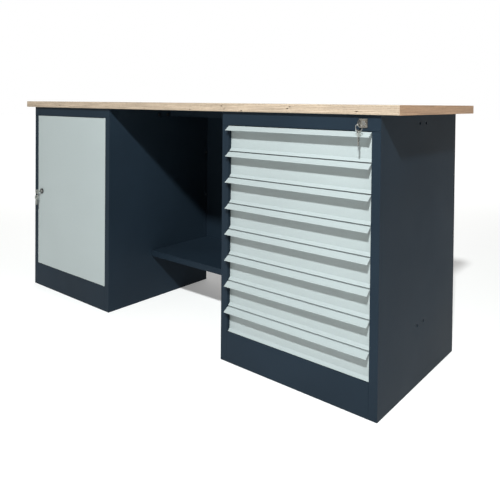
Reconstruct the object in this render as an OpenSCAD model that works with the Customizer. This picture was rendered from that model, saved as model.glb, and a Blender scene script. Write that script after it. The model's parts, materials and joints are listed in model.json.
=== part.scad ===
// Workbench on two sheet-steel cabinets, one with a door and one with eight drawers, joined by a
// rail, a rear panel and a low shelf across the knee space. Millimetres, +Z up. The origin is on
// the floor at the middle of the bench; +X runs along it to the drawer cabinet and +Y to its back.

/* [Bench] */
// Height of the work surface above the floor
bench_h = 900; // [840:10:960]
// Thickness of the worktop
top_t = 28; // [24:1:40]
// Worktop overhang past each cabinet
side_over = 60; // [20:5:100]
// Worktop overhang in front of the cabinets
front_over = 12; // [0:1:30]
// Worktop overhang behind the cabinets
rear_over = 8; // [0:1:20]
// Clear width of the knee space
knee_w = 650; // [500:10:1000]

/* [Cabinets] */
// Width of each cabinet
cab_w = 600; // [520:10:700]
// Depth of each cabinet
cab_d = 600; // [580:10:700]
// Height of the plinth
plinth_h = 105; // [90:5:130]
// Width of the folded post at each front corner
post_w = 28; // [28:1:36]
// Depth of the fold behind each post
post_return = 20; // [16:1:20]
// Sheet thickness of the cabinets
sheet = 1.5; // [1.2:0.1:2]
// Height of the head panel over the drawers
drawer_header_h = 47; // [46:1:60]
// Height of the head panel over the door
door_header_h = 40; // [36:1:60]

/* [Door] */
// How far the door's folded edges reach back
door_fold = 18; // [14:1:20]
// Distance from the door's free edge to its lock
door_lock_in = 35; // [32:1:60]
// Height of the door lock above the floor
door_lock_z = 463; // [400:5:560]

/* [Drawers] */
// Setback of the drawer faces behind the posts
face_in = 14; // [12:1:16]
// Reach of the grip lip in front of the posts
lip_out = 17; // [12:1:20]
// Height of a drawer tray's walls
tray_h = 70; // [40:5:70]
// Length of the drawer runners
runner_len = 500; // [460:10:500]

/* [Knee space] */
// Height of the top of the lower shelf
shelf_z = 220; // [200:5:300]
// Setback of the lower shelf's front edge
shelf_in = 237; // [150:1:260]

/* [Locks] */
// Distance of the drawer lock from the cabinet's outer side
drawer_lock_in = 54; // [50:1:60]
// Distance of the drive pin from the drawer lock's axis
cam_r = 12; // [10:0.5:12]

/* [Hidden] */
$fn = 48;
drawer_count = 8;
drawer_numbers = [1:drawer_count];
cab_h = bench_h - top_t;
thin = 1.2;                                   // sheet of the door, drawers and shelves
run_gap = 0.3;                                // gap between sliding sections
pitch = (cab_h - plinth_h - drawer_header_h) / drawer_count;
drawer_gap = 1;                               // gap at each end of a drawer front
left_x = -knee_w / 2 - cab_w;
right_x = knee_w / 2;

// Holes in every cabinet side: two rows of two for M8 bolts, and the rear edge's screws
bolt_cols = [275, 325];
bolt_rows = [shelf_z - 26, cab_h - 30];
bolt_hole_r = 4.25;
free_hole_r = 4.5;                            // the outer sides' holes, which nothing is bolted to
bolt_r = 4;
screw_rows = [435, 650];
screw_r = 2.5;
screw_in = 10;                                // screw centres, from the rear edge
back_return = 20;
panel_screw_len = 12;
rail_tab_t = 2;                               // end tabs of the knee rail
top_screw_cols = [100, 500];
top_screw_in = 18;                            // screw centres, from each side of a cabinet
top_screw_r = 3;
top_screw_len = 22;
fit_gap = 0.1;

// Keys and lock cylinders
key_t = 2;
key_bow_r = 10;
key_neck = 12;
key_blade = 18;
key_bow_y = 22;                               // bow centre, in front of the lock's face
key_hole_out = 3;
key_hole_r = 3;
lock_face = 4;                                // the lock's face, in front of the sheet
plug_r = 6;
plug_fit = 0.05;
barrel_r = 9;
ring_r = 10.5;
ring_wire_r = 0.8;
ring_drop = 1.5;                              // the ring's top below the bow hole's centre
key_reach = lock_face + key_bow_y + key_hole_out + key_bow_r;

// The bench is centred between its foremost point, a hanging key, and the worktop's rear edge
front_y = -(cab_d + rear_over - key_reach) / 2;

// Door: pivots near its right edge, lock near its left edge
door_gap = 1.5;
door_x0 = post_w + door_gap;
door_x1 = cab_w - post_w - door_gap;
door_z0 = plinth_h + 2;
door_z1 = cab_h - door_header_h - 2;
pivot_x = door_x1 - 8;
pivot_y = 4;
pivot_r = 2.5;
pivot_fit = 0.05;
pivot_len = 20;
door_lock_x = door_x0 + door_lock_in;
door_cam_len = 42;

// Drawers
tray_x0 = 43;
tray_x1 = cab_w - tray_x0;
tray_back = 560;
tray_rise = 8;
runner_y = 50;
runner_x = post_w;
runner_mid = 42;                              // runner centre above the drawer's lower limit
runner_half = 15;
rail_y = 55;
upright_ys = [runner_y + 5, runner_y + runner_len - 50];
upright_w = 35;

// Central locking: a bar behind the right post, lifted by the cam pin
lock_x = cab_w - drawer_lock_in;
lock_z = cab_h - drawer_header_h / 2 - 1;
cam_rest = 45;                                // the pin starts this far below the horizontal
pin_r = 2.5;
pin_slack = 0.6;
bar_t = 2;
bar_y = 27;
bar_x = cab_w - 25;
bar_w = 8;
finger_y = bar_y + bar_t;                     // the fingers and the arm lie on the bar's rear face
finger_t = 2;
finger_z = 60;
finger_h = 6;
catch_z = 71;
catch_h = 13;
pin_z = lock_z - cam_r * sin(cam_rest);
slot_half = pin_r + pin_slack;
arm_half = slot_half + 3.5;

// Shelf inside the door cabinet
inner_shelf_z = 455;
peg_r = 3.5;

NODES = concat(
    ["worktop", "worktop_screws",
     "left_cabinet_outer_side", "left_cabinet_inner_side", "left_cabinet_back",
     "left_cabinet_floor", "left_cabinet_header", "left_cabinet_plinth",
     "top_rails", "inner_shelf", "shelf_pegs", "door_pivots",
     "right_cabinet_inner_side", "right_cabinet_outer_side", "right_cabinet_back",
     "right_cabinet_floor", "right_cabinet_header", "right_cabinet_plinth",
     "runner_uprights", "cabinet_runners",
     "knee_rail", "knee_back_panel", "knee_shelf",
     "cabinet_fasteners",
     "drawer_lock_body", "lock_bar_guides", "lock_bar", "lock_bar_fingers",
     "drawer_lock_cylinder", "drawer_lock_key", "drawer_lock_spare_key",
     "door_panel", "door_lock_body", "door_lock_cylinder", "door_lock_key",
     "door_lock_spare_key"],
    [for (i = drawer_numbers) str("drawer_", i, "_front")],
    [for (i = drawer_numbers) str("drawer_", i, "_tray")],
    [for (i = drawer_numbers) str("drawer_", i, "_runners")]);
node = "all";

steel = [0.20, 0.25, 0.30];
pale = [0.76, 0.81, 0.81];
zinc = [0.62, 0.63, 0.64];
nickel = [0.72, 0.71, 0.68];
black = [0.06, 0.06, 0.06];
birch = [0.84, 0.75, 0.65];

// ---- frames: a cabinet's own corner is its front left bottom corner ----

module in_left() { translate([left_x, front_y, 0]) children(); }
module in_right() { translate([right_x, front_y, 0]) children(); }
module other_side() { translate([cab_w, 0, 0]) mirror([1, 0, 0]) children(); }
module both_sides() {
    children();
    other_side() children();
}
module drawer_frame(i) { in_right() translate([0, 0, drawer_z(i)]) children(); }
module along_x(from, length) {
    translate([from, 0, 0]) rotate([90, 0, 90]) linear_extrude(length) children();
}

// Lower limit of drawer i, counted from the top
function drawer_z(i) = plinth_h + (drawer_count - i) * pitch;

// Joins a path of points and its parallel copy at distance t to the left into one closed outline
function unit(v) = v / norm(v);
function left_of(v) = [-v[1], v[0]];
function mitre(a, b, t) = t * (left_of(a) + left_of(b)) / (1 + a * b);
function path_dir(p, k) = unit(p[k + 1] - p[k]);
function strip(p, t) = let (n = len(p) - 1)
    concat(p, [for (k = [n:-1:0]) p[k] + mitre(path_dir(p, max(k - 1, 0)), path_dir(p, min(k, n - 1)), t)]);

// ---- worktop ----

module worktop() {
    edge = 1.5;
    length = knee_w + 2 * (cab_w + side_over);
    depth = cab_d + front_over + rear_over;
    color(birch)
    difference() {
        translate([-length / 2, front_y - front_over, cab_h]) rotate([90, 0, 90]) linear_extrude(length)
            polygon([[edge, 0], [depth - edge, 0], [depth, edge], [depth, top_t - edge],
                     [depth - edge, top_t], [edge, top_t], [0, top_t - edge], [0, edge]]);
        top_screw_places() cylinder(r = top_screw_r + fit_gap, h = top_screw_len + 1);
    }
}

// One screw through each top rail flange, near its front and near its rear, in both cabinets
module top_screw_places() {
    for (x = [left_x, right_x])
        translate([x, front_y, cab_h]) both_sides()
            for (y = top_screw_cols) translate([top_screw_in, y, 0]) children();
}

module worktop_screws() {
    head_h = 4.5;
    head_r = 6.4;
    color(zinc) top_screw_places() {
        translate([0, 0, -sheet]) cylinder(r = top_screw_r, h = top_screw_len + sheet);
        translate([0, 0, -sheet - head_h]) cylinder(r = head_r, h = head_h, $fn = 6);
    }
}

// ---- cabinets ----

// The left side of a cabinet: a web with a post folded at the front
module side_panel(header_h, hole_r) {
    post_top = cab_h - header_h - 0.5;
    color(steel) difference() {
        union() {
            cube([post_w, sheet, post_top]);
            translate([post_w - sheet, 0, 0]) cube([sheet, post_return, post_top]);
            cube([sheet, cab_d, post_top]);
            translate([0, sheet, 0]) cube([sheet, cab_d - sheet, cab_h]);
        }
        for (y = bolt_cols, z = bolt_rows) side_hole(y, z, hole_r);
        for (z = screw_rows) side_hole(cab_d - screw_in, z, screw_r + fit_gap);
    }
}

module side_hole(y, z, r) { translate([-1, y, z]) rotate([0, 90, 0]) cylinder(r = r, h = sheet * 2 + 2); }

module cabinet_back() {
    color(steel) difference() {
        union() {
            translate([sheet, cab_d - sheet, 0]) cube([cab_w - 2 * sheet, sheet, cab_h]);
            both_sides() translate([sheet, cab_d - back_return, 0]) cube([sheet, back_return, cab_h]);
        }
        both_sides() for (z = screw_rows) side_hole(cab_d - screw_in, z, screw_r + fit_gap);
    }
}

module cabinet_floor() {
    flange_h = 25;
    color(steel) difference() {
        union() {
            translate([sheet, post_return, plinth_h - sheet])
                cube([cab_w - 2 * sheet, cab_d - sheet - post_return, sheet]);
            both_sides() translate([sheet, post_return + 10, plinth_h - flange_h])
                cube([sheet, cab_d - back_return - post_return - 20, flange_h]);
        }
        both_sides() translate([0, cab_d - back_return, 0]) cube([2 * sheet, back_return, cab_h]);
    }
}

module cabinet_header(header_h, lock_hole) {
    z = cab_h - header_h;
    inner_w = cab_w - 2 * (post_w + run_gap);
    color(steel) difference() {
        union() {
            translate([0, 0, z]) cube([cab_w, sheet, header_h]);
            translate([post_w + run_gap, 0, z]) cube([inner_w, post_return, sheet]);
            translate([sheet, 0, cab_h - sheet]) cube([cab_w - 2 * sheet, post_return, sheet]);
        }
        if (lock_hole) translate([lock_x, -1, lock_z]) rotate([-90, 0, 0])
            cylinder(r = barrel_r + fit_gap, h = sheet + 2);
    }
}

module cabinet_plinth() {
    inner_w = cab_w - 2 * (post_w + run_gap);
    color(steel) translate([post_w + run_gap, 0, 0]) {
        cube([inner_w, sheet, plinth_h]);
        cube([inner_w, 15, sheet]);
        translate([0, 0, plinth_h - sheet]) cube([inner_w, post_return, sheet]);
    }
}

// An angle along the top of each side, which carries the worktop
module top_rails() {
    leg = 20;
    flange = 30;
    start = post_return + 10;
    length = cab_d - back_return - start - 5;
    color(steel) both_sides() difference() {
        union() {
            translate([sheet, start, cab_h - leg]) cube([sheet, length, leg]);
            translate([sheet, start, cab_h - sheet]) cube([flange, length, sheet]);
        }
        for (y = top_screw_cols) translate([top_screw_in, y, cab_h - sheet - 1])
            cylinder(r = top_screw_r + fit_gap, h = sheet + 2);
    }
}

// ---- inside the door cabinet ----

module inner_shelf() {
    lip = 25;
    front = 32;
    depth = 540;
    color(pale) translate([2 * sheet, front, 0]) {
        width = cab_w - 4 * sheet;
        translate([0, 0, inner_shelf_z]) cube([width, depth, thin]);
        for (y = [0, depth - thin]) translate([0, y, inner_shelf_z - lip]) cube([width, thin, lip]);
    }
}

module shelf_pegs() {
    color(zinc) both_sides() for (y = [80, 520])
        translate([sheet, y, inner_shelf_z - peg_r]) rotate([0, 90, 0]) {
            cylinder(r = peg_r, h = 14);
            cylinder(r = peg_r + 2.5, h = 1.5);    // collar against the side
        }
}

// Fixed studs that the door turns on, one at the plinth and one under the head panel
module door_pivots() {
    washer_h = 1.7;
    washer_r = 3.8;
    head_z = cab_h - door_header_h;
    color(zinc) translate([pivot_x, pivot_y, 0]) {
        translate([0, 0, plinth_h]) cylinder(r = pivot_r, h = pivot_len);
        translate([0, 0, plinth_h]) cylinder(r = washer_r, h = washer_h);
        translate([0, 0, head_z - pivot_len]) cylinder(r = pivot_r, h = pivot_len);
        translate([0, 0, head_z - washer_h]) cylinder(r = washer_r, h = washer_h);
    }
}

// ---- door ----

module door_panel() {
    w = door_x1 - door_x0;
    h = door_z1 - door_z0;
    hem = 12;
    doubler = [18, door_fold - thin, 3];       // thickens the folded ends where the pivots enter
    bore_h = 20;
    doubler_x = door_x1 - thin - doubler[0];
    color(pale) difference() {
        union() {
            difference() {
                translate([door_x0, 0, door_z0]) cube([w, door_fold, h]);
                translate([door_x0 + thin, thin, door_z0 + thin])
                    cube([w - 2 * thin, door_fold - 2 * thin, h - 2 * thin]);
                translate([door_x0 + hem, thin, door_z0 + hem]) cube([w - 2 * hem, door_fold, h - 2 * hem]);
            }
            translate([doubler_x, thin, door_z0 + thin]) cube(doubler);
            translate([doubler_x, thin, door_z1 - thin - doubler[2]]) cube(doubler);
        }
        for (z = [door_z0 - 1, door_z1 - bore_h + 1])
            translate([pivot_x, pivot_y, z]) cylinder(r = pivot_r + pivot_fit, h = bore_h);
        translate([door_lock_x, -1, door_lock_z]) rotate([-90, 0, 0])
            cylinder(r = barrel_r + fit_gap, h = 4);
    }
}

// ---- locks; each is drawn about its own axis, with +Y pointing into the furniture ----

module lock_barrel(length) {
    rotate([-90, 0, 0]) difference() {
        cylinder(r = barrel_r, h = length);
        translate([0, 0, -1]) cylinder(r = plug_r + plug_fit, h = length + 2);
    }
}

module plug(length) {
    slot = [key_t + fit_gap, key_blade + 1, 7 + fit_gap];
    difference() {
        translate([0, -lock_face + 0.5, 0]) rotate([-90, 0, 0])
            cylinder(r = plug_r, h = length + lock_face - 0.5);
        translate([-slot[0] / 2, -lock_face, -slot[2] / 2]) cube(slot);
    }
}

// A flat key: bow, neck and blade in the YZ plane, the bow's centre at the origin
module flat_key() {
    color(nickel) difference() {
        rotate([0, 90, 0]) translate([0, 0, -key_t / 2]) linear_extrude(key_t) difference() {
            union() {
                circle(r = key_bow_r);
                translate([-4.5, 0]) square([9, key_bow_r + key_neck - 6]);
                translate([-3.5, 0]) square([7, key_bow_r + key_neck + key_blade - 4]);
            }
            translate([0, -key_hole_out]) circle(r = key_hole_r);
        }
        // milled dimples of the bitting along the blade's lower edge
        for (k = [0:3]) translate([-key_t, key_bow_r + key_neck + 1.5 + 3.2 * k, -4.5 + 0.35 * (k % 2)])
            rotate([0, 90, 0]) cylinder(r = 1.5, h = 2 * key_t, $fn = 24);
    }
}

module key_in_lock() { translate([0, -lock_face - key_bow_y, 0]) flat_key(); }

// A split ring through the bow's hole, with the spare key hanging from it
module spare_key() {
    hang_y = -lock_face - key_bow_y - key_hole_out;
    color(nickel) translate([0, hang_y, -ring_drop - ring_r]) {
        rotate([90, 0, 0]) rotate_extrude() translate([ring_r, 0]) circle(r = ring_wire_r, $fn = 24);
        translate([0, 0, -ring_r - ring_drop - key_hole_out]) rotate([-90, 0, 0]) flat_key();
    }
}

module cam_lever(from_y, length, angle) {
    lever_t = 2.5;
    width = 9;
    rotate([0, angle, 0]) translate([0, from_y, 0]) {
        rotate([-90, 0, 0]) cylinder(r = 7, h = lever_t);
        translate([0, 0, -width / 2]) cube([length, lever_t, width]);
    }
}

module at_door_lock() { in_left() translate([door_lock_x, 0, door_lock_z]) children(); }
module at_drawer_lock() { in_right() translate([lock_x, 0, lock_z]) children(); }

module door_lock_body() {
    flange_r = 12.5;
    color(black) {
        lock_barrel(20.5);
        translate([0, -lock_face, 0]) rotate([-90, 0, 0]) difference() {
            cylinder(r = flange_r, h = lock_face);
            translate([0, 0, -1]) cylinder(r = plug_r + plug_fit, h = lock_face + 2);
        }
    }
}

module door_lock_cylinder() {
    color(zinc) {
        plug(21);
        cam_lever(21, door_cam_len, 90);
    }
}

module drawer_lock_body() {
    plate = 26;
    plate_t = 3;
    color(nickel) {
        lock_barrel(22);
        difference() {
            translate([-plate / 2, -plate_t, -plate / 2]) cube([plate, plate_t, plate]);
            translate([0, -plate_t - 1, 0]) rotate([-90, 0, 0])
                cylinder(r = plug_r + plug_fit, h = plate_t + 2);
        }
    }
}

module drawer_lock_cylinder() {
    lever_y = 22.5;
    pin_end = finger_y + finger_t + 1.5;
    color(zinc) {
        plug(lever_y);
        cam_lever(lever_y, cam_r, 180 - cam_rest);
        rotate([0, 180 - cam_rest, 0]) translate([cam_r, lever_y, 0]) rotate([-90, 0, 0]) {
            cylinder(r = 4.5, h = 2.5);
            cylinder(r = pin_r, h = pin_end - lever_y);
        }
    }
}

// ---- central locking ----

module lock_bar() {
    foot_z = drawer_z(drawer_count) + finger_z - 6;
    color(zinc) translate([bar_x, bar_y, foot_z]) cube([bar_w, bar_t, pin_z + arm_half - foot_z]);
}

// A finger for each drawer's catch, and the slotted arm that the cam pin lifts
module lock_bar_fingers() {
    slot_low = lock_x - cam_r - slot_half;
    slot_high = lock_x - cam_r * cos(cam_rest) + slot_half;
    arm_x = slot_low - 4;
    color(zinc) translate([0, finger_y, 0]) {
        for (i = drawer_numbers) translate([bar_x - 9, 0, drawer_z(i) + finger_z])
            cube([bar_w + 9, finger_t, finger_h]);
        difference() {
            translate([arm_x, 0, pin_z - arm_half]) cube([bar_x + bar_w - arm_x, finger_t, 2 * arm_half]);
            translate([slot_low, -1, pin_z - slot_half])
                cube([slot_high - slot_low, finger_t + 2, 2 * slot_half]);
        }
    }
}

module lock_bar_guides() {
    guide_h = 20;
    clear = 0.3;
    guide_zs = [300, 660];
    color(zinc) for (z = guide_zs) translate([bar_x - 1, bar_y - 2, z]) difference() {
        cube([cab_w - sheet - bar_x + 1, bar_t + 4, guide_h]);
        translate([1 - clear, 2 - clear, -1]) cube([bar_w + 2 * clear, bar_t + 2 * clear, guide_h + 2]);
        translate([-1, 2 - clear, -1]) cube([3, bar_t + 2 * clear, guide_h + 2]);
    }
}

// ---- runners ----

module runner_uprights() {
    depth = post_w - sheet;
    height = cab_h - drawer_header_h - plinth_h;
    color(zinc) both_sides() for (y = upright_ys) translate([sheet, y, plinth_h]) difference() {
        cube([depth, upright_w, height]);
        translate([-1, sheet, -1]) cube([depth - sheet + 1, upright_w - 2 * sheet, height + 2]);
    }
}

// A channel section lying on its side, open towards +X
module channel(x, y, half, depth, length) {
    translate([x, y, -half]) difference() {
        cube([depth, length, 2 * half]);
        translate([sheet, -1, sheet]) cube([depth, length + 2, 2 * (half - sheet)]);
    }
}

module cabinet_runners() {
    color(zinc) for (i = drawer_numbers)
        translate([0, 0, drawer_z(i) + runner_mid])
            both_sides() channel(runner_x, runner_y, runner_half, 11.5, runner_len + 10);
}

// The drawer's own rails nest in the cabinet's channels; above the right-hand one sits the
// catch for the lock bar
module drawer_runners() {
    half = runner_half - sheet - run_gap;
    depth = tray_x0 - runner_x - sheet - 1.5;
    catch_y = finger_y + finger_t + 2;
    pad = [thin, 14, 12];
    color(zinc) {
        translate([0, 0, runner_mid]) both_sides()
            translate([tray_x0, 0, 0]) mirror([1, 0, 0]) channel(0, rail_y, half, depth, runner_len);
        translate([tray_x1, catch_y, catch_z - pad[2] / 2]) cube(pad);
        translate([tray_x1, catch_y, catch_z]) cube([bar_x - 4 - tray_x1, sheet, catch_h]);
    }
}

// ---- drawers ----

// Section of a drawer front from its lower flare up over the face and out to the grip lip
module drawer_front() {
    y_flare = 5;
    flare_h = 11;
    top_z = pitch - 2.5;
    ridge_y = 1;
    tip_z = 74;
    x0 = post_w + drawer_gap;
    width = cab_w - 2 * x0;
    hem_r = 1.3;
    path = [[-lip_out, tip_z], [ridge_y, top_z], [face_in, top_z], [face_in, flare_h - 0.5],
            [y_flare, 1]];
    color(pale) {
        along_x(x0, width) {
            polygon(strip([path[4], path[3], [face_in, top_z - thin]], -thin));
            polygon(strip([[face_in + thin, top_z], path[1], path[0]], thin));
            translate(path[0] + [0.4, -0.4]) circle(r = hem_r, $fn = 24);
        }
        for (x = [x0, x0 + width - thin])
            translate([x, face_in, flare_h]) cube([thin, 10, top_z - flare_h - thin]);
    }
}

module drawer_tray() {
    front = face_in + thin;
    width = tray_x1 - tray_x0;
    color(pale) translate([tray_x0, front, tray_rise]) difference() {
        cube([width, tray_back - front, tray_h]);
        translate([thin, thin, thin]) cube([width - 2 * thin, tray_back - front - 2 * thin, tray_h]);
    }
}

// ---- knee space ----

module knee_rail() {
    tab = [rail_tab_t, 90, 42];
    tab_y = front_y + 257;
    rail_w = 40;
    color(steel) difference() {
        union() {
            for (x = [-knee_w / 2, knee_w / 2 - tab[0]]) translate([x, tab_y, cab_h - tab[2]]) cube(tab);
            translate([-knee_w / 2, tab_y + tab[1], cab_h - 36]) difference() {
                cube([knee_w, rail_w, 36]);
                translate([tab[0], 2, -1]) cube([knee_w - 2 * tab[0], rail_w - 4, 35]);
            }
        }
        for (y = bolt_cols) translate([-knee_w / 2 - 1, front_y + y, bolt_rows[1]]) rotate([0, 90, 0])
            cylinder(r = bolt_hole_r, h = knee_w + 2);
    }
}

module knee_back_panel() {
    foot_z = shelf_z - 25;
    color(steel) difference() {
        union() {
            translate([-knee_w / 2, front_y + cab_d - sheet, foot_z]) cube([knee_w, sheet, cab_h - foot_z]);
            for (s = [0, 1]) mirror([s, 0, 0])
                translate([-knee_w / 2, front_y + cab_d - back_return, shelf_z + 1])
                    cube([sheet, back_return, cab_h - shelf_z - 1]);
        }
        for (z = screw_rows) translate([-knee_w / 2 - 1, front_y + cab_d - screw_in, z]) rotate([0, 90, 0])
            cylinder(r = screw_r + fit_gap, h = knee_w + 2);
    }
}

module knee_shelf() {
    lip = 25;
    lip_fold = 14;
    side_h = 44;
    depth = cab_d - sheet - shelf_in;
    color(steel) difference() {
        translate([-knee_w / 2, front_y + shelf_in, 0]) {
            translate([0, 0, shelf_z - sheet]) cube([knee_w, depth, sheet]);
            translate([0, 0, shelf_z - lip]) cube([knee_w, sheet, lip]);
            translate([0, 0, shelf_z - lip]) cube([knee_w, lip_fold, sheet]);
            for (x = [0, knee_w - sheet])
                translate([x, lip_fold, shelf_z - side_h]) cube([sheet, depth - lip_fold, side_h]);
        }
        for (y = bolt_cols) translate([-knee_w / 2 - 1, front_y + y, bolt_rows[0]]) rotate([0, 90, 0])
            cylinder(r = bolt_hole_r, h = knee_w + 2);
    }
}

// M8 bolts with their nuts, which hold the rail and the shelf between the cabinets
module assembly_bolts() {
    head_r = 7;
    head_h = 5.3;
    nut_h = 6.5;
    // each row's height and the thickness bolted to the cabinet side there
    joints = [[bolt_rows[0], sheet], [bolt_rows[1], rail_tab_t]];
    color(black) for (s = [0, 1]) mirror([s, 0, 0])
        for (row = joints, y = bolt_cols)
            translate([-knee_w / 2 + row[1], front_y + y, row[0]]) rotate([0, -90, 0]) {
                translate([0, 0, -head_h]) cylinder(r = head_r, h = head_h, $fn = 6);
                cylinder(r = bolt_r, h = row[1] + sheet + nut_h + 2);
                translate([0, 0, row[1] + sheet]) cylinder(r = 7.5, h = nut_h, $fn = 6);
            }
}

// Round-headed screws along the cabinets' rear edges; x is the face each head lies on
module panel_screws() {
    head_r = 4.6;
    head_h = 2;
    color(black) for (s = [0, 1], z = screw_rows, x = [-knee_w / 2 + sheet, -knee_w / 2 - cab_w])
        mirror([s, 0, 0]) translate([x, front_y + cab_d - screw_in, z])
            rotate([0, x < -knee_w / 2 ? 90 : -90, 0]) {
                cylinder(r = screw_r, h = panel_screw_len);
                translate([0, 0, -head_h]) cylinder(r1 = head_r - 1.6, r2 = head_r, h = head_h);
            }
}

module cabinet_fasteners() {
    assembly_bolts();
    panel_screws();
}

// ---- assembly ----

function picked(name) = node == "all" || node == name;

if (picked("worktop")) worktop();
if (picked("worktop_screws")) worktop_screws();
if (picked("left_cabinet_outer_side")) in_left() side_panel(door_header_h, free_hole_r);
if (picked("left_cabinet_inner_side")) in_left() other_side() side_panel(door_header_h, bolt_hole_r);
if (picked("left_cabinet_back")) in_left() cabinet_back();
if (picked("left_cabinet_floor")) in_left() cabinet_floor();
if (picked("left_cabinet_header")) in_left() cabinet_header(door_header_h, false);
if (picked("left_cabinet_plinth")) in_left() cabinet_plinth();
if (picked("top_rails")) {
    in_left() top_rails();
    in_right() top_rails();
}
if (picked("inner_shelf")) in_left() inner_shelf();
if (picked("shelf_pegs")) in_left() shelf_pegs();
if (picked("door_pivots")) in_left() door_pivots();
if (picked("right_cabinet_inner_side")) in_right() side_panel(drawer_header_h, bolt_hole_r);
if (picked("right_cabinet_outer_side")) in_right() other_side() side_panel(drawer_header_h, free_hole_r);
if (picked("right_cabinet_back")) in_right() cabinet_back();
if (picked("right_cabinet_floor")) in_right() cabinet_floor();
if (picked("right_cabinet_header")) in_right() cabinet_header(drawer_header_h, true);
if (picked("right_cabinet_plinth")) in_right() cabinet_plinth();
if (picked("runner_uprights")) in_right() runner_uprights();
if (picked("cabinet_runners")) in_right() cabinet_runners();
if (picked("knee_rail")) knee_rail();
if (picked("knee_back_panel")) knee_back_panel();
if (picked("knee_shelf")) knee_shelf();
if (picked("cabinet_fasteners")) cabinet_fasteners();
if (picked("drawer_lock_body")) at_drawer_lock() drawer_lock_body();
if (picked("lock_bar_guides")) in_right() lock_bar_guides();
if (picked("lock_bar")) in_right() lock_bar();
if (picked("lock_bar_fingers")) in_right() lock_bar_fingers();
if (picked("drawer_lock_cylinder")) at_drawer_lock() drawer_lock_cylinder();
if (picked("drawer_lock_key")) at_drawer_lock() key_in_lock();
if (picked("drawer_lock_spare_key")) at_drawer_lock() spare_key();
if (picked("door_panel")) in_left() door_panel();
if (picked("door_lock_body")) at_door_lock() door_lock_body();
if (picked("door_lock_cylinder")) at_door_lock() door_lock_cylinder();
if (picked("door_lock_key")) at_door_lock() key_in_lock();
if (picked("door_lock_spare_key")) at_door_lock() spare_key();
for (i = drawer_numbers) {
    if (picked(str("drawer_", i, "_front"))) drawer_frame(i) drawer_front();
    if (picked(str("drawer_", i, "_tray"))) drawer_frame(i) drawer_tray();
    if (picked(str("drawer_", i, "_runners"))) drawer_frame(i) drawer_runners();
}
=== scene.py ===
import json
import math
import random

import bmesh
import bpy
from mathutils import Matrix, Vector


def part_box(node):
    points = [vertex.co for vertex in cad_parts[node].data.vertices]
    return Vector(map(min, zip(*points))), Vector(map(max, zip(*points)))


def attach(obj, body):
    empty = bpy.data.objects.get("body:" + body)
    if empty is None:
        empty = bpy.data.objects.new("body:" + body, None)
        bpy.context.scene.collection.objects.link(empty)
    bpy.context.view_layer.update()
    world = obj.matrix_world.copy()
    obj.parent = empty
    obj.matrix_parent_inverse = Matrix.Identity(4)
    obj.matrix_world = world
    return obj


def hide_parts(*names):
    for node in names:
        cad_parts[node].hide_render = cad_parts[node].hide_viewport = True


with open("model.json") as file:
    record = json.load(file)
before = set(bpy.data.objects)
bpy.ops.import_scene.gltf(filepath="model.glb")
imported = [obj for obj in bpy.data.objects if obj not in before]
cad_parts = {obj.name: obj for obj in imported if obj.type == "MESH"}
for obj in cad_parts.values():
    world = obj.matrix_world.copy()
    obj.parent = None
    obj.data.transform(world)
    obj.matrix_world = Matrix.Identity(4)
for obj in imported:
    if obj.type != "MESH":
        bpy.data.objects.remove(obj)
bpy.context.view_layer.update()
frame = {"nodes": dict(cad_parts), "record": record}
NODES = frame["nodes"]
SLOT_OF = {s["node"]: s["material_slot"] for s in frame["record"]["subparts"]}
MM = 0.001

# ---- camera: a standing view across the right-hand corner, with the lens shifted down ----

CAM_AT = Vector((1.6201, -1.7039, 0.9030))
CAM_YAW, CAM_PITCH, CAM_ROLL = (math.radians(a) for a in (-39.531, -0.987, -0.549))
SENSOR = 36.0
FOCAL_SHARE = 549.48 / 500        # focal length as a share of the picture's width
CENTRE_SHARE = 112.18 / 500       # height of the optical axis in the picture, from its top


def make_camera():
    ahead = Vector((math.sin(CAM_YAW) * math.cos(CAM_PITCH), math.cos(CAM_YAW) * math.cos(CAM_PITCH),
                    math.sin(CAM_PITCH)))
    level = Vector((math.cos(CAM_YAW), -math.sin(CAM_YAW), 0))
    down = ahead.cross(level)
    right = level * math.cos(CAM_ROLL) + down * math.sin(CAM_ROLL)
    up = level * math.sin(CAM_ROLL) - down * math.cos(CAM_ROLL)
    data = bpy.data.cameras.new("camera")
    data.sensor_width = SENSOR
    data.lens = SENSOR * FOCAL_SHARE
    data.shift_y = CENTRE_SHARE - 0.5
    data.clip_start, data.clip_end = 0.05, 100
    cam = bpy.data.objects.new("camera", data)
    turn = Matrix((right, up, -ahead)).transposed()
    cam.matrix_world = Matrix.Translation(CAM_AT) @ turn.to_4x4()
    bpy.context.scene.collection.objects.link(cam)
    bpy.context.scene.camera = cam


# ---- node materials ----

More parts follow.
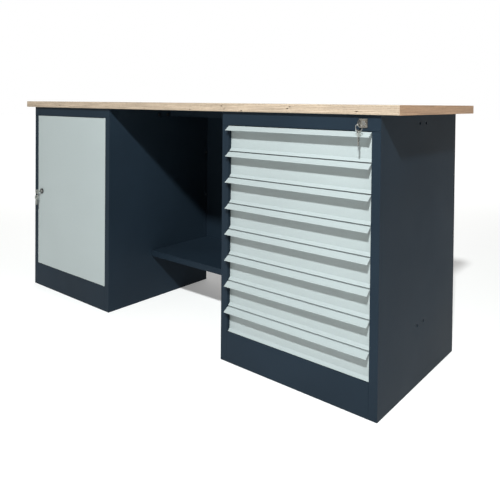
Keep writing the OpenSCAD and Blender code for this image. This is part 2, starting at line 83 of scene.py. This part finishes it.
class Nodes:
    """Shorthand for building one material's nodes, in the object's own coordinates in metres."""

    def __init__(self, name):
        self.mat = bpy.data.materials.new(name)
        self.mat.use_nodes = True
        self.tree = self.mat.node_tree
        self.shader = self.tree.nodes["Principled BSDF"]
        self.place = self.add("ShaderNodeTexCoord").outputs["Object"]

    def add(self, kind, **values):
        n = self.tree.nodes.new(kind)
        for k, v in values.items():
            setattr(n, k, v)
        return n

    def feed(self, value, socket):
        if isinstance(value, bpy.types.NodeSocket):
            self.tree.links.new(value, socket)
        else:
            socket.default_value = value

    def scaled(self, x, y, z, at=None):
        n = self.add("ShaderNodeMapping")
        self.feed(at or self.place, n.inputs["Vector"])
        n.inputs["Scale"].default_value = (x, y, z)
        return n.outputs["Vector"]

    def noise(self, scale, detail=2.0, at=None, rough=0.5, distort=0.0):
        n = self.add("ShaderNodeTexNoise")
        self.feed(at or self.place, n.inputs["Vector"])
        n.inputs["Scale"].default_value = scale
        n.inputs["Detail"].default_value = detail
        n.inputs["Roughness"].default_value = rough
        n.inputs["Distortion"].default_value = distort
        return n.outputs["Fac"]

    def math(self, op, a, b=0.0, c=0.0, clamp=False):
        n = self.add("ShaderNodeMath", operation=op, use_clamp=clamp)
        for v, s in zip((a, b, c), n.inputs):
            self.feed(v, s)
        return n.outputs[0]

    def ramp(self, value, *stops):
        """Maps a value through (place, grey or colour) stops."""
        n = self.add("ShaderNodeValToRGB")
        self.feed(value, n.inputs[0])
        e = n.color_ramp.elements
        while len(e) < len(stops):
            e.new(0.5)
        for item, (at, c) in zip(e, stops):
            item.position = at
            item.color = (c, c, c, 1) if isinstance(c, (int, float)) else (*c, 1)
        return n.outputs["Color"]

    def mix(self, share, a, b, blend="MIX"):
        n = self.add("ShaderNodeMix", data_type="RGBA", blend_type=blend)
        self.feed(share, n.inputs["Factor"])
        for v, s in ((a, n.inputs["A"]), (b, n.inputs["B"])):
            self.feed(v if isinstance(v, bpy.types.NodeSocket) else (*v, 1), s)
        return n.outputs["Result"]

    def range(self, value, low, high, lo_in=0.0, hi_in=1.0):
        """Stretches lo_in..hi_in to low..high."""
        n = self.add("ShaderNodeMapRange")
        self.feed(value, n.inputs["Value"])
        for v, s in zip((lo_in, hi_in, low, high), list(n.inputs)[1:5]):
            s.default_value = v
        return n.outputs["Result"]

    def facing(self, axis):
        """1 on faces square to the axis, 0 on the others."""
        n = self.add("ShaderNodeVectorMath", operation="DOT_PRODUCT")
        self.feed(self.add("ShaderNodeNewGeometry").outputs["Normal"], n.inputs[0])
        n.inputs[1].default_value = axis
        return self.math("GREATER_THAN", self.math("ABSOLUTE", n.outputs["Value"]), 0.6)

    def bump(self, height, strength, distance):
        n = self.add("ShaderNodeBump")
        n.inputs["Strength"].default_value = strength
        n.inputs["Distance"].default_value = distance
        self.feed(height, n.inputs["Height"])
        self.feed(n.outputs["Normal"], self.shader.inputs["Normal"])

    def finish(self, colour, rough, **fixed):
        self.feed(colour, self.shader.inputs["Base Color"])
        self.feed(rough, self.shader.inputs["Roughness"])
        for k, v in fixed.items():
            self.shader.inputs[k.replace("_", " ")].default_value = v
        return self.mat


def shade(colour, by):
    return tuple(min(1.0, c * by) for c in colour)


def powder_coat(name, colour, rough, spread=0.06, level=0.5):
    """Satin powder coat: a fine orange-peel skin over faint, broad variations of tone."""
    m = Nodes(name)
    cloud = m.noise(2.3, 4.0)
    speck = m.noise(900.0, 1.0)
    tone = m.mix(m.range(cloud, 0.0, 1.0, 0.35, 0.65),
                 shade(colour, 1 - spread), shade(colour, 1 + spread))
    grain = m.ramp(speck, (0.30, 0.90), (0.70, 1.08))
    colour_out = m.mix(0.5, tone, m.mix(1.0, tone, grain, "MULTIPLY"))
    peel = m.math("MULTIPLY_ADD", m.noise(650.0, 2.0), 0.7, m.noise(140.0, 2.0))
    m.bump(peel, 0.16, 0.00025)
    gloss = m.range(m.noise(5.0, 3.0), rough - 0.05, rough + 0.06)
    return m.finish(colour_out, gloss, Specular_IOR_Level=level)


def plated(name, colour, rough, spangle, scratches, metal=1.0):
    """Plated metal: soft crystals of differing tone, with fine rubbed scratches."""
    m = Nodes(name)
    cell = m.add("ShaderNodeTexVoronoi", feature="SMOOTH_F1")
    cell.inputs["Scale"].default_value = 95.0
    m.feed(m.place, cell.inputs["Vector"])
    patch = m.range(m.noise(260.0, 3.0), 1 - spangle, 1 + spangle, 0.3, 0.7)
    rub = m.noise(60.0, 5.0, m.scaled(1.0, 14.0, 3.0), 0.7)
    crystals = m.mix(cell.outputs["Color"], shade(colour, 1 - spangle), shade(colour, 1 + spangle))
    tone = m.mix(1.0, crystals,
                 m.ramp(m.math("MULTIPLY", patch, 0.5), (0.2, 0.75), (0.8, 1.0)), "MULTIPLY")
    m.bump(m.math("MULTIPLY_ADD", rub, scratches, m.noise(500.0, 2.0)), 0.12, 0.0002)
    return m.finish(tone, m.range(rub, rough - 0.08, rough + 0.12, 0.3, 0.7), Metallic=metal)


def birch(name, grain, face, side, end):
    """Birch veneer, its grain along one axis: a pale flat face, streaky edges and darker end grain."""
    m = Nodes(name)
    stretch = [1.0 if g else 26.0 for g in grain]
    fibre = m.noise(9.0, 6.0, m.scaled(*stretch), 0.62, 0.25)
    fine = m.noise(60.0, 3.0, m.scaled(*stretch), 0.6)
    figure = m.noise(1.6, 2.0, m.scaled(1.0, 5.0, 1.0), 0.5, 1.4)
    bands = m.math("PINGPONG", m.math("MULTIPLY", figure, 14.0), 0.5)
    flat = m.mix(m.range(bands, 0.0, 0.55, 0.0, 0.5), face, shade(face, 0.80))
    edge = m.mix(m.ramp(fibre, (0.35, 0.0), (0.68, 1.0)), shade(side, 1.14), shade(side, 0.58))
    pores = m.ramp(m.noise(420.0, 3.0), (0.40, 0.0), (0.62, 1.0))
    ends = m.mix(pores, shade(end, 1.12), shade(end, 0.72))
    body = m.mix(m.facing((0, 0, 1)), edge, flat)
    body = m.mix(m.facing(grain), body, ends)
    blotch = m.range(m.noise(4.0, 3.0, m.scaled(1.0, 1.0, 18.0)), 0.86, 1.12, 0.3, 0.7)
    streaks = m.mix(m.range(fine, 0.0, 1.0, 0.3, 0.7), (0.93,) * 3, (1.0,) * 3)
    body = m.mix(1.0, body, streaks, "MULTIPLY")
    tint = m.add("ShaderNodeHueSaturation")
    m.feed(body, tint.inputs["Color"])
    m.feed(blotch, tint.inputs["Value"])
    m.bump(m.math("MULTIPLY_ADD", fibre, 0.7, pores), 0.25, 0.0003)
    return m.finish(tint.outputs["Color"], m.range(fibre, 0.42, 0.62), Specular_IOR_Level=0.4)


def make_materials():
    return {
        "slate_paint": powder_coat("slate_paint", (0.0102, 0.0185, 0.0285), 0.56, 0.10, 0.10),
        "pale_paint": powder_coat("pale_paint", (0.323, 0.366, 0.370), 0.45, 0.025, 0.35),
        "zinc": plated("zinc", (0.50, 0.51, 0.52), 0.38, 0.14, 0.6),
        "nickel": plated("nickel", (0.62, 0.60, 0.56), 0.22, 0.05, 0.8),
        "dark_fastener": plated("dark_fastener", (0.045, 0.05, 0.055), 0.42, 0.10, 0.5, 0.8),
        "black_lock": powder_coat("black_lock", (0.010, 0.010, 0.011), 0.30, 0.08),
        "birch_ply": birch("birch_ply_long", (1, 0, 0), (0.46, 0.38, 0.285), (0.46, 0.375, 0.285),
                           (0.42, 0.26, 0.16)),
        "birch_cross": birch("birch_ply_cross", (0, 1, 0), (0.42, 0.34, 0.255), (0.44, 0.28, 0.175),
                             (0.37, 0.285, 0.21)),
    }


# ---- CAD nodes: each keeps its shape and takes its slot's material and softened edges ----

EDGE_MM = {"zinc": 0.3, "nickel": 0.25, "dark_fastener": 0.3, "black_lock": 0.5, "birch_ply": 0.4}
SHEET_EDGE_MM = 0.45              # painted sheet metal
EDGE_ANGLE = math.radians(40)     # corners sharper than this are rounded
SHARP_ANGLE = math.radians(32)    # edges sharper than this break the smooth shading
WELD_DISTANCE = 1e-5


def shading_group():
    """Modifier that drops a mesh's stored normals and shades it smooth between its sharp edges."""
    g = bpy.data.node_groups.new("shade_by_angle", "GeometryNodeTree")
    g.interface.new_socket("Geometry", in_out="INPUT", socket_type="NodeSocketGeometry")
    g.interface.new_socket("Geometry", in_out="OUTPUT", socket_type="NodeSocketGeometry")
    start, end = g.nodes.new("NodeGroupInput"), g.nodes.new("NodeGroupOutput")
    drop = g.nodes.new("GeometryNodeRemoveAttribute")
    drop.inputs["Name"].default_value = "custom_normal"
    smooth = g.nodes.new("GeometryNodeSetShadeSmooth")
    sharpen = g.nodes.new("GeometryNodeSetShadeSmooth")
    sharpen.domain = "EDGE"
    sharpen.inputs["Shade Smooth"].default_value = False
    angle = g.nodes.new("GeometryNodeInputMeshEdgeAngle")
    wide = g.nodes.new("ShaderNodeMath")
    wide.operation = "GREATER_THAN"
    wide.inputs[1].default_value = SHARP_ANGLE
    for a, b in ((start.outputs[0], drop.inputs["Geometry"]),
                 (drop.outputs[0], smooth.inputs["Geometry"]),
                 (smooth.outputs[0], sharpen.inputs["Geometry"]),
                 (sharpen.outputs[0], end.inputs[0]),
                 (angle.outputs["Unsigned Angle"], wide.inputs[0]),
                 (wide.outputs[0], sharpen.inputs["Selection"])):
        g.links.new(a, b)
    return g


def dress_nodes(materials):
    shading = shading_group()
    for name, obj in NODES.items():
        slot = SLOT_OF[name]
        obj.data.materials.clear()
        obj.data.materials.append(materials[slot])
        weld = obj.modifiers.new("weld", "WELD")
        weld.merge_threshold = WELD_DISTANCE
        bevel = obj.modifiers.new("edges", "BEVEL")
        bevel.width = EDGE_MM.get(slot, SHEET_EDGE_MM) * MM
        bevel.segments = 2
        bevel.limit_method = "ANGLE"
        bevel.angle_limit = EDGE_ANGLE
        obj.modifiers.new("shading", "NODES").node_group = shading
        even = obj.modifiers.new("even", "WEIGHTED_NORMAL")
        even.keep_sharp = True
        even.weight = 100


# ---- worktop: crossed plies of birch, with the small core gaps that such board has ----

PLY_COUNT = 11
CHAMFER = 1.5 * MM
RECESS = 0.15 * MM                # how far a cross ply's edge lies back after sanding
PLY_EDGE = 0.12 * MM
CORE_WIDTHS = (0.22, 0.52)        # narrowest and widest piece of veneer in a cross ply
CORE_GAPS = (0.4 * MM, 0.4 * MM, 0.6 * MM, 3 * MM, 8 * MM)
LAST_CORE = 0.08                  # a piece that would end nearer the end runs out to it
SEED = 7


def slab(bm, low, high, chamfer_low=0.0, chamfer_high=0.0):
    """A box whose lower or upper long edges may be chamfered."""
    (x0, y0, z0), (x1, y1, z1) = low, high
    ring = [(y0 + chamfer_low, z0), (y1 - chamfer_low, z0)]
    if chamfer_low:
        ring.append((y1, z0 + chamfer_low))
    ring += [(y1, z1 - chamfer_high), (y1 - chamfer_high, z1)] if chamfer_high else [(y1, z1)]
    ring += [(y0 + chamfer_high, z1), (y0, z1 - chamfer_high)] if chamfer_high else [(y0, z1)]
    if chamfer_low:
        ring.append((y0, z0 + chamfer_low))
    ends = [[bm.verts.new((x, y, z)) for y, z in ring] for x in (x0, x1)]
    n = len(ring)
    bm.faces.new(ends[0][::-1])
    bm.faces.new(ends[1])
    for k in range(n):
        bm.faces.new((ends[0][k], ends[0][(k + 1) % n], ends[1][(k + 1) % n], ends[1][k]))


def make_object(name, bm, material, body):
    bmesh.ops.recalc_face_normals(bm, faces=bm.faces[:])
    mesh = bpy.data.meshes.new(name)
    bm.to_mesh(mesh)
    bm.free()
    mesh.materials.append(material)
    obj = bpy.data.objects.new(name, mesh)
    bpy.context.scene.collection.objects.link(obj)
    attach(obj, body)
    return obj


def soften(obj, width):
    bevel = obj.modifiers.new("edges", "BEVEL")
    bevel.width = width
    bevel.segments = 1
    bevel.limit_method = "ANGLE"
    bevel.angle_limit = math.radians(30)


def make_worktop(materials):
    low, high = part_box("worktop")
    thick = (high[2] - low[2]) / PLY_COUNT
    long_plies, cross_plies = bmesh.new(), bmesh.new()
    rng = random.Random(SEED)
    for k in range(PLY_COUNT):
        z0, z1 = low[2] + k * thick, low[2] + (k + 1) * thick
        if k % 2 == 0:
            slab(long_plies, (low[0], low[1], z0), (high[0], high[1], z1),
                 CHAMFER if k == 0 else 0.0, CHAMFER if k == PLY_COUNT - 1 else 0.0)
            continue
        x = low[0] + RECESS
        while x < high[0] - RECESS:
            width = rng.uniform(*CORE_WIDTHS)
            gap = rng.choice(CORE_GAPS)
            end = x + width
            if end > high[0] - LAST_CORE:
                end = high[0] - RECESS
            slab(cross_plies, (x, low[1] + RECESS, z0), (end, high[1] - RECESS, z1))
            x = end + gap
    top = make_object("worktop_long_plies", long_plies, materials["birch_ply"], "bench")
    core = make_object("worktop_cross_plies", cross_plies, materials["birch_cross"], "bench")
    for obj in (top, core):
        soften(obj, PLY_EDGE)
        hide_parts("worktop")


# ---- stage and light ----

FLOOR_HALF = 30.0
AWAY = Vector((-0.64, 0.77, 0.0))      # the way that the camera looks along the floor
KEY_AT = Vector((2.05, -2.90, 3.28))
KEY_POWER = 290.0
KEY_SIZE = 0.22
KEY_AIM = Vector((0.2, 0.0, 0.4))
KEY_COLOUR = (0.97, 1.0, 1.0)
FLOOR_GLOW = (0.10, 0.80)              # the floor's own light, near and far
GLOW_SPAN = (-0.5, 4.0)                # where, along AWAY, it grows from the first to the second
AMBIENT = (0.29, 0.262, 0.212)         # the room around and behind the camera
OVERHEAD = (0.17, 0.17, 0.165)
BACKDROP = (1.0, 1.0, 1.0)


def make_stage():
    """A pale floor that grows lighter into a white studio background behind the bench."""
    m = Nodes("studio_floor")
    tone = m.mix(m.noise(0.7, 3.0), (0.84, 0.84, 0.84), (0.88, 0.88, 0.875))
    m.bump(m.noise(90.0, 3.0), 0.05, 0.0005)
    along = m.add("ShaderNodeVectorMath", operation="DOT_PRODUCT")
    m.feed(m.place, along.inputs[0])
    along.inputs[1].default_value = AWAY
    glow = m.range(along.outputs["Value"], *FLOOR_GLOW, *GLOW_SPAN)
    m.feed(glow, m.shader.inputs["Emission Strength"])
    m.shader.inputs["Emission Color"].default_value = (1, 1, 1, 1)
    bm = bmesh.new()
    bmesh.ops.create_grid(bm, x_segments=4, y_segments=4, size=FLOOR_HALF)
    mesh = bpy.data.meshes.new("floor")
    bm.to_mesh(mesh)
    bm.free()
    mesh.materials.append(m.finish(tone, m.range(m.noise(3.0), 0.75, 0.9), Specular_IOR_Level=0.1))
    floor = bpy.data.objects.new("floor", mesh)
    floor.location.z = -0.0005
    bpy.context.scene.collection.objects.link(floor)


def make_light():
    data = bpy.data.lights.new("key", "AREA")
    data.shape = "DISK"
    data.size = KEY_SIZE
    data.energy = KEY_POWER
    data.color = KEY_COLOUR
    key = bpy.data.objects.new("key", data)
    key.location = KEY_AT
    key.rotation_euler = (KEY_AIM - KEY_AT).to_track_quat("-Z", "Y").to_euler()
    bpy.context.scene.collection.objects.link(key)
    world = bpy.data.worlds.new("studio")
    bpy.context.scene.world = world
    world.use_nodes = True
    tree = world.node_tree
    sky = tree.nodes["Background"]
    way = tree.nodes.new("ShaderNodeTexCoord").outputs["Generated"]

    def ramp(value, *stops):
        n = tree.nodes.new("ShaderNodeValToRGB")
        tree.links.new(value, n.inputs[0])
        for item, (at, c) in zip(n.color_ramp.elements, stops):
            item.position, item.color = at, (*c, 1)
        return n.outputs["Color"]

    split = tree.nodes.new("ShaderNodeSeparateXYZ")
    tree.links.new(way, split.inputs[0])
    behind = tree.nodes.new("ShaderNodeVectorMath")
    behind.operation = "DOT_PRODUCT"
    tree.links.new(way, behind.inputs[0])
    behind.inputs[1].default_value = AWAY
    room = ramp(split.outputs["Z"], (0.25, AMBIENT), (0.60, OVERHEAD))
    back = tree.nodes.new("ShaderNodeMix")
    back.data_type = "RGBA"
    share = ramp(behind.outputs["Value"], (0.55, (0, 0, 0)), (0.84, (1, 1, 1)))
    tree.links.new(share, back.inputs["Factor"])
    tree.links.new(room, back.inputs["A"])
    back.inputs["B"].default_value = (*BACKDROP, 1)
    tree.links.new(back.outputs["Result"], sky.inputs["Color"])
    view = bpy.context.scene.view_settings
    view.view_transform = "Standard"
    view.look = "None"
    view.exposure = 0.0


make_camera()
MATERIALS = make_materials()
dress_nodes(MATERIALS)
make_worktop(MATERIALS)
make_stage()
make_light()
